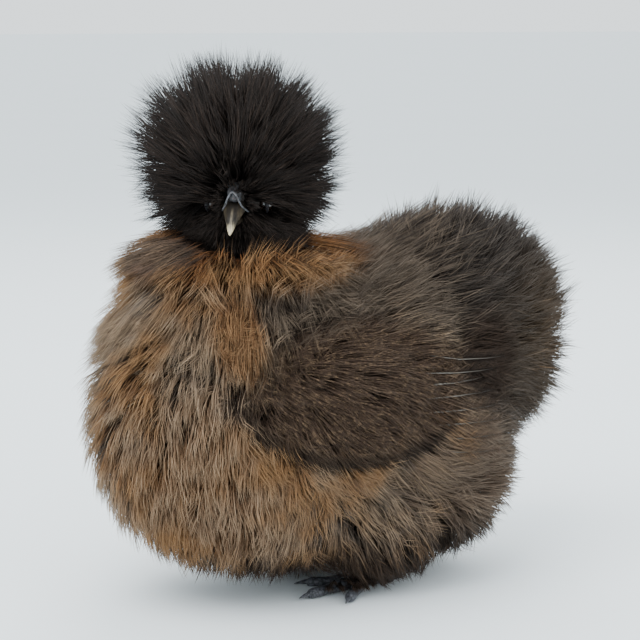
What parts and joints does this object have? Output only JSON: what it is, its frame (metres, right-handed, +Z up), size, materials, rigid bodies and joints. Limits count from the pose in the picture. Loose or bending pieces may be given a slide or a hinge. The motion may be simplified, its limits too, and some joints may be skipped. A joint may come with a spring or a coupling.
{
  "type": "silkie chicken",
  "caption": "Still, life-size silkie hen with a round crest, beard, soft wings and tail cushion, standing with its head turned to its left.",
  "frame": {"origin": "centre of the footprint of the bounding box, on the floor that the feet stand on", "axes": "+Z up, the bird faces -Y and its left side is +X"},
  "size_m": [0.1822, 0.3054, 0.306],
  "materials": {
    "crest_down": "matte, hair-like black-brown plumage",
    "beard_down": "matte, hair-like black-brown plumage",
    "hackle_down": "matte, hair-like rust-gold plumage",
    "body_down": "matte, hair-like brown plumage with buff tips",
    "wing_down": "matte, hair-like dark brown plumage with fine buff flecks",
    "cushion_down": "matte, hair-like grey-brown plumage",
    "face_skin": "matte slate-black skin",
    "comb_skin": "satin slate-grey wrinkled comb and wattle",
    "lobe_skin": "matte blue-green ear lobe",
    "beak_horn": "satin horn, slate at the root and ivory at the tip",
    "eye_gloss": "wet gloss, near black",
    "leg_scale": "satin slate-black scales"
  },
  "bodies": {
    "root": {"torso": "body_down", "neck": "hackle_down", "head": "face_skin", "crest": "crest_down", "beard": "beard_down", "comb": "comb_skin", "beak_upper": "beak_horn", "beak_lower": "beak_horn", "eye_left": "eye_gloss", "eye_right": "eye_gloss", "wattle_left": "comb_skin", "wattle_right": "comb_skin", "earlobe_left": "lobe_skin", "earlobe_right": "lobe_skin", "wing_left": "wing_down", "wing_right": "wing_down", "tail": "cushion_down", "thigh_left": "body_down", "thigh_right": "body_down", "shank_left": "leg_scale", "shank_right": "leg_scale", "foot_left": "leg_scale", "foot_right": "leg_scale"}
  },
  "joints": []
}
